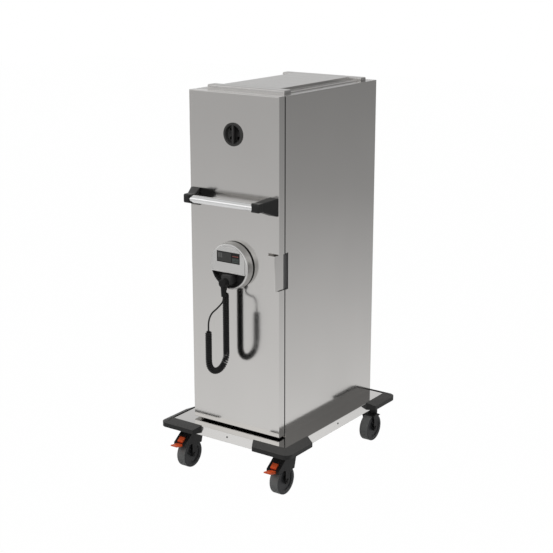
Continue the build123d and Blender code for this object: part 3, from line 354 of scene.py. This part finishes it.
rounded = {
    "handle_brackets": 0.004, "bumpers_front": 0.005, "bumpers_rear": 0.005,
    "unit_fascia": 0.0012, "latch_handle": 0.0008, "socket_block": 0.0015, "top_panel": 0.0012,
    "deck": 0.0015, "outer_shell": 0.0008,
}
unclamped = ["handle_brackets"]
weld_reach = 0.00002
bumper_swell = 0.003
bevel_steps = 3
sharp_edge = math.radians(35)
for name, width in rounded.items():
    # The meshes are split along sharp edges, so a weld comes first
    weld = nodes[name].modifiers.new("weld", "WELD")
    weld.merge_threshold = weld_reach
    if name.startswith("bumpers"):
        swell = nodes[name].modifiers.new("swell", "DISPLACE")
        swell.mid_level = 0.0
        swell.strength = bumper_swell
    bevel = nodes[name].modifiers.new("edges", "BEVEL")
    bevel.width = width
    bevel.segments = bevel_steps
    bevel.limit_method = "ANGLE"
    bevel.angle_limit = sharp_edge
    bevel.harden_normals = True
    bevel.use_clamp_overlap = name not in unclamped


# Cord: a route as a NURBS curve, and the curly tube that follows it

cord_radius = 0.0035
cord_sides = 12
curl_radius = 0.0105
straight_pitch = 0.00765
steps_per_curl = 28
plain_step = 0.002
curl_fade = 0.011
route_steps = 24
cord_x = middle_of("cord_gland", "x")
near_y = middle_of("cord_gland", "y")
cord_spread = 0.120
far_y = near_y - cord_spread
bend_radius = cord_spread / 2
gland_end = low_of("cord_gland", "z")
boot_end = low_of("plug_body", "z")
boot_ahead = 0.0780
plain_start = 0.019
curl_top = gland_end - plain_start
bend_drop = 0.3775
bend_z = unit_z - bend_drop
far_drop = 0.257
far_top = unit_z - far_drop
lead_points = [
    (-0.0095, 0.1700, -0.2280), (-0.0093, 0.1680, -0.2080), (-0.0085, 0.1600, -0.1890),
    (-0.0070, 0.1450, -0.1745), (-0.0050, 0.1255, -0.1675), (-0.0026, 0.1051, -0.1571),
    (-0.0008, 0.0878, -0.1471), (0.0, 0.0814, -0.1394), (0.0, boot_ahead, -0.1300),
]


def make_route():
    """Route of the whole cord: gland, U of the curls, lead, boot."""
    bend_y = (near_y + far_y) / 2
    bend_corners = 4
    half_step = math.pi / (2 * bend_corners)
    reach = bend_radius / math.cos(half_step)
    ease = bend_radius * math.tan(half_step)
    points = [(cord_x, near_y, gland_end), (cord_x, near_y, bend_z + ease)]
    for corner in range(bend_corners):
        angle = (2 * corner + 1) * half_step
        points.append((cord_x, bend_y + reach * math.cos(angle), bend_z - reach * math.sin(angle)))
    points.append((cord_x, far_y, bend_z + ease))
    points += [(x, door_face - ahead, unit_z + z) for x, ahead, z in lead_points]
    points.append((0.0, door_face - boot_ahead, boot_end))
    curve = bpy.data.curves.new("cord_route", "CURVE")
    curve.dimensions = "3D"
    curve.resolution_u = route_steps
    spline = curve.splines.new("NURBS")
    spline.points.add(len(points) - 1)
    for place, point in zip(spline.points, points):
        place.co = (*point, 1)
    spline.order_u = 3
    spline.use_endpoint_u = True
    holder = bpy.data.objects.new("cord_route", curve)
    scene.collection.objects.link(holder)
    line = bpy.data.meshes.new_from_object(holder)
    route = [v.co.copy() for v in line.vertices]
    bpy.data.objects.remove(holder)
    bpy.data.curves.remove(curve)
    bpy.data.meshes.remove(line)
    return route


def lengths_along(points):
    """Distance of each point from the first along the line."""
    along = [0.0]
    for a, b in zip(points, points[1:]):
        along.append(along[-1] + (b - a).length)
    return along


def at_length(points, along, s):
    """Point and direction at a distance along a line."""
    s = min(max(s, 0.0), along[-1] - 1e-9)
    low, high = 0, len(along) - 1
    while high - low > 1:
        half = (low + high) // 2
        if along[half] <= s:
            low = half
        else:
            high = half
    share = (s - along[low]) / (along[high] - along[low])
    return points[low].lerp(points[high], share), (points[high] - points[low]).normalized()


def smooth_share(x):
    """Soft step from 0 to 1."""
    x = min(max(x, 0.0), 1.0)
    return x * x * (3 - 2 * x)


def make_curly_path(route):
    """Centre line of the curly tube wound about the route, then the plain lead."""
    along = lengths_along(route)
    start = gland_end - curl_top
    near = curl_top - bend_z
    bend = math.pi * bend_radius
    end = start + near + bend + (far_top - bend_z)
    bend_pitch = straight_pitch * bend_radius / (bend_radius - curl_radius)
    path = []
    turns = 0.0
    s = 0.0
    side = Vector((1, 0, 0))
    while s < end + curl_fade:
        centre, ahead = at_length(route, along, s)
        across = ahead.cross(side).normalized()
        grow = smooth_share((s - (start - curl_fade)) / curl_fade)
        grow *= smooth_share((end + curl_fade - s) / curl_fade)
        angle = 2 * math.pi * turns
        out = side * math.cos(angle) + across * math.sin(angle)
        path.append(centre + out * curl_radius * grow)
        in_coil = start - curl_fade < s < end + curl_fade
        in_bend = start + near < s < start + near + bend
        pitch = bend_pitch if in_bend else straight_pitch
        step = pitch / steps_per_curl if in_coil else plain_step
        if in_coil:
            turns += step / pitch
        s += step
    while s < along[-1]:
        path.append(at_length(route, along, s)[0])
        s += plain_step
    path.append(route[-1].copy())
    return path


def finish_mesh(name, bm):
    """Object from a bmesh, with its normals made consistent."""
    bmesh.ops.recalc_face_normals(bm, faces=bm.faces)
    mesh = bpy.data.meshes.new(name)
    bm.to_mesh(mesh)
    bm.free()
    obj = bpy.data.objects.new(name, mesh)
    scene.collection.objects.link(obj)
    return obj


def tube(name, path, radius, sides):
    """Closed round tube along a path."""
    bm = bmesh.new()
    ahead = (path[1] - path[0]).normalized()
    side = ahead.orthogonal().normalized()
    rings = []
    for i, point in enumerate(path):
        before = path[max(i - 1, 0)]
        after = path[min(i + 1, len(path) - 1)]
        ahead = (after - before).normalized()
        side = (side - ahead * side.dot(ahead)).normalized()
        other = ahead.cross(side)
        ring = []
        for k in range(sides):
            angle = 2 * math.pi * k / sides
            outward = side * math.cos(angle) + other * math.sin(angle)
            ring.append(bm.verts.new(point + outward * radius))
        rings.append(ring)
    for a, b in zip(rings, rings[1:]):
        for k in range(sides):
            bm.faces.new((a[k], a[(k + 1) % sides], b[(k + 1) % sides], b[k]))
    bm.faces.new(list(reversed(rings[0])))
    bm.faces.new(rings[-1])
    for face in bm.faces:
        face.smooth = len(face.verts) == 4
    return finish_mesh(name, bm)


route = make_route()
cord_path = make_curly_path(route)
cord = tube("curly_cord", cord_path, cord_radius, cord_sides)
paint(cord, cord_rubber)
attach(cord, "door")
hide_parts("cord_curls", "cord_lead")


# Marks on the display: plain strips

panel_thickness = 0.0002
mark_thickness = 0.0005


def display_marks(name, material, strips, thickness=mark_thickness):
    """Thin strips on the window, each given by its limits along X and Z from the unit's axis."""
    bm = bmesh.new()
    for x0, x1, z0, z1 in strips:
        centre = ((x0 + x1) / 2, display_face - thickness / 2, unit_z + (z0 + z1) / 2)
        place = Matrix.Translation(centre)
        size = Matrix.Diagonal((x1 - x0, thickness, z1 - z0, 1))
        bmesh.ops.create_cube(bm, size=1, matrix=place @ size)
    marks = finish_mesh(name, bm)
    paint(marks, material)
    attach(marks, "door")


display_marks("display_panels", panel_grey, [
    (-0.0545, 0.014, 0.0205, 0.0595), (0.019, 0.0555, 0.0205, 0.041),
], panel_thickness)
display_marks("marks_grey", mark_grey, [
    (-0.051, -0.047, 0.036, 0.056), (-0.044, -0.040, 0.036, 0.056), (-0.036, -0.032, 0.036, 0.056),
])
display_marks("marks_red", mark_red, [
    (0.022, 0.031, 0.047, 0.050), (0.033, 0.042, 0.047, 0.050), (0.044, 0.053, 0.047, 0.050),
])
display_marks("marks_teal", mark_teal, [
    (0.022, 0.036, 0.030, 0.038), (0.040, 0.055, 0.030, 0.038), (0.022, 0.055, 0.023, 0.026),
])


# Stage, light and camera

wall_radius = 6.5
wall_height = 5.5
wall_sides = 96
floor_reach = 14.0
floor_tone = 0.35
floor_glow = 0.995
wall_light_share = 0.2
sky_light = 1.0
sky_mirrored = 0.75
white = (1, 1, 1, 1)

# Tones that the steel mirrors: along the floor from the object outwards, and up the wall
floor_front = [(0.0, 1.0), (0.12, 0.97), (0.50, 0.84), (1.0, 0.70)]
floor_back = [(0.0, 0.96), (0.12, 0.89), (0.25, 0.80), (0.45, 0.66), (0.62, 0.57), (1.0, 0.41)]
wall_front = [(0.0, 0.70), (0.16, 0.61), (0.24, 0.62), (0.30, 1.45), (0.60, 1.45), (1.0, 0.80)]
wall_back = [(0.0, 0.42), (0.12, 0.355), (0.24, 0.31), (0.32, 0.235), (0.45, 0.235), (1.0, 0.60)]
wall_back_left = [(0.0, 0.60), (0.20, 0.80), (0.35, 0.97), (0.50, 0.72), (0.62, 0.64), (1.0, 0.75)]

# Distances over which the front tones turn into the back ones, and the left ones into the right
turn_reach = 0.8
aside_reach = 1.0


def plain_emission(name):
    """Material that only glows; gives the material, its tree, the glow and the output."""
    material = bpy.data.materials.new(name)
    material.use_nodes = True
    tree = material.node_tree
    tree.nodes.clear()
    output = tree.nodes.new("ShaderNodeOutputMaterial")
    glow = tree.nodes.new("ShaderNodeEmission")
    tree.links.new(glow.outputs[0], output.inputs[0])
    return material, tree, glow, output


def tone_ramp(tree, value, stops):
    """Grey tone from a value between 0 and 1."""
    ramp = tree.nodes.new("ShaderNodeValToRGB")
    elements = ramp.color_ramp.elements
    elements[0].position, elements[1].position = stops[0][0], stops[-1][0]
    elements[0].color = (stops[0][1],) * 3 + (1,)
    elements[1].color = (stops[-1][1],) * 3 + (1,)
    for position, tone in stops[1:-1]:
        elements.new(position).color = (tone,) * 3 + (1,)
    tree.links.new(value, ramp.inputs[0])
    return ramp.outputs["Color"]


def maths(tree, operation, a, b):
    """Maths node on two sockets or numbers."""
    node = tree.nodes.new("ShaderNodeMath")
    node.operation = operation
    for socket, value in zip(node.inputs, (a, b)):
        if isinstance(value, (int, float)):
            socket.default_value = value
        else:
            tree.links.new(value, socket)
    return node.outputs[0]


def blend_colours(tree, share, a, b):
    """Mix of two colour sockets."""
    node = tree.nodes.new("ShaderNodeMix")
    node.data_type = "RGBA"
    tree.links.new(share, node.inputs["Factor"])
    tree.links.new(a, node.inputs[6])
    tree.links.new(b, node.inputs[7])
    return node.outputs[2]


def from_front_to_back(tree, axes):
    """0 in front of the object and 1 behind it."""
    turn = tree.nodes.new("ShaderNodeMapRange")
    turn.inputs["From Min"].default_value = -turn_reach
    turn.inputs["From Max"].default_value = turn_reach
    tree.links.new(axes.outputs["Y"], turn.inputs["Value"])
    return turn.outputs["Result"]


def make_floor():
    """Pale floor that keeps the shadow, looks white in the camera and fades in reflections."""
    bm = bmesh.new()
    bmesh.ops.create_grid(bm, x_segments=1, y_segments=1, size=floor_reach)
    floor = finish_mesh("floor", bm)
    material, tree, glow, output = plain_emission("floor_white")
    diffuse = tree.nodes.new("ShaderNodeBsdfDiffuse")
    diffuse.inputs["Color"].default_value = (floor_tone, floor_tone, floor_tone, 1)
    place = tree.nodes.new("ShaderNodeTexCoord")
    axes = tree.nodes.new("ShaderNodeSeparateXYZ")
    tree.links.new(place.outputs["Object"], axes.inputs[0])
    reach = tree.nodes.new("ShaderNodeVectorMath")
    reach.operation = "LENGTH"
    tree.links.new(place.outputs["Object"], reach.inputs[0])
    share_out = maths(tree, "DIVIDE", reach.outputs["Value"], wall_radius)
    front = tone_ramp(tree, share_out, floor_front)
    back = tone_ramp(tree, share_out, floor_back)
    mirrored = blend_colours(tree, from_front_to_back(tree, axes), front, back)
    path = tree.nodes.new("ShaderNodeLightPath")
    plain = tree.nodes.new("ShaderNodeRGB")
    plain.outputs[0].default_value = white
    colour = blend_colours(tree, path.outputs["Is Glossy Ray"], plain.outputs[0], mirrored)
    tree.links.new(colour, glow.inputs["Color"])
    seen = maths(tree, "MULTIPLY", path.outputs["Is Camera Ray"], floor_glow)
    seen = maths(tree, "MAXIMUM", seen, path.outputs["Is Glossy Ray"])
    seen = maths(tree, "MAXIMUM", seen, path.outputs["Is Transmission Ray"])
    mix = tree.nodes.new("ShaderNodeMixShader")
    tree.links.new(seen, mix.inputs[0])
    tree.links.new(diffuse.outputs[0], mix.inputs[1])
    tree.links.new(glow.outputs[0], mix.inputs[2])
    tree.links.new(mix.outputs[0], output.inputs[0])
    floor.data.materials.append(material)


def make_studio_wall():
    """Round grey wall about the object that only light and reflections see."""
    bm = bmesh.new()
    angles = [2 * math.pi * k / wall_sides for k in range(wall_sides)]
    rings = []
    for z in (0.0, wall_height):
        rings.append([bm.verts.new((wall_radius * math.cos(a), wall_radius * math.sin(a), z))
                      for a in angles])
    for k in range(wall_sides):
        j = (k + 1) % wall_sides
        bm.faces.new((rings[0][k], rings[0][j], rings[1][j], rings[1][k]))
    wall = finish_mesh("studio_wall", bm)
    wall.visible_camera = False
    wall.visible_shadow = False
    material, tree, glow, output = plain_emission("wall_grey")
    place = tree.nodes.new("ShaderNodeTexCoord")
    axes = tree.nodes.new("ShaderNodeSeparateXYZ")
    tree.links.new(place.outputs["Object"], axes.inputs[0])
    level = maths(tree, "DIVIDE", axes.outputs["Z"], wall_height)
    front = tone_ramp(tree, level, wall_front)
    back = tone_ramp(tree, level, wall_back)
    left = tone_ramp(tree, level, wall_back_left)
    aside = tree.nodes.new("ShaderNodeMapRange")
    aside.inputs["From Min"].default_value = -aside_reach
    aside.inputs["From Max"].default_value = aside_reach
    tree.links.new(axes.outputs["X"], aside.inputs["Value"])
    behind = blend_colours(tree, aside.outputs["Result"], left, back)
    tree.links.new(blend_colours(tree, from_front_to_back(tree, axes), front, behind),
                   glow.inputs["Color"])
    path = tree.nodes.new("ShaderNodeLightPath")
    lit = maths(tree, "MAXIMUM", path.outputs["Is Glossy Ray"], wall_light_share)
    tree.links.new(lit, glow.inputs["Strength"])
    wall.data.materials.append(material)


make_floor()
make_studio_wall()

world = bpy.data.worlds.new("studio")
scene.world = world
world.use_nodes = True
sky_tree = world.node_tree
background = sky_tree.nodes["Background"]
background.inputs["Color"].default_value = white
sky_path = sky_tree.nodes.new("ShaderNodeLightPath")
sky_change = sky_mirrored - sky_light
sky_level = maths(sky_tree, "MULTIPLY", sky_path.outputs["Is Glossy Ray"], sky_change)
sky_level = maths(sky_tree, "ADD", sky_level, sky_light)
sky_tree.links.new(sky_level, background.inputs["Strength"])


def area_light(name, place, target, size, power):
    """Round soft lamp aimed at a point, left out of reflections."""
    lamp = bpy.data.lights.new(name, "AREA")
    lamp.shape = "DISK"
    lamp.size = size
    lamp.energy = power
    holder = bpy.data.objects.new(name, lamp)
    holder.location = place
    holder.rotation_euler = (Vector(target) - Vector(place)).to_track_quat("-Z", "Y").to_euler()
    holder.visible_glossy = False
    scene.collection.objects.link(holder)


area_light("key", place=(-2.6, -3.6, 4.2), target=(0, 0, 0.9), size=3.2, power=60)
area_light("fill", place=(3.8, -1.0, 3.0), target=(0, 0, 0.8), size=2.8, power=25)

camera_place = (3.0951, -4.4334, 2.3122)
camera_lens = 82.46
camera_sensor = 36.0
camera_down = math.radians(15.2249)
camera_turn = math.radians(35.0805)
camera = bpy.data.cameras.new("camera")
camera.lens = camera_lens
camera.sensor_width = camera_sensor
camera_holder = bpy.data.objects.new("camera", camera)
camera_holder.location = camera_place
camera_holder.rotation_euler = (math.pi / 2 - camera_down, 0, camera_turn)
scene.collection.objects.link(camera_holder)
scene.camera = camera_holder
scene.view_settings.view_transform = "Standard"
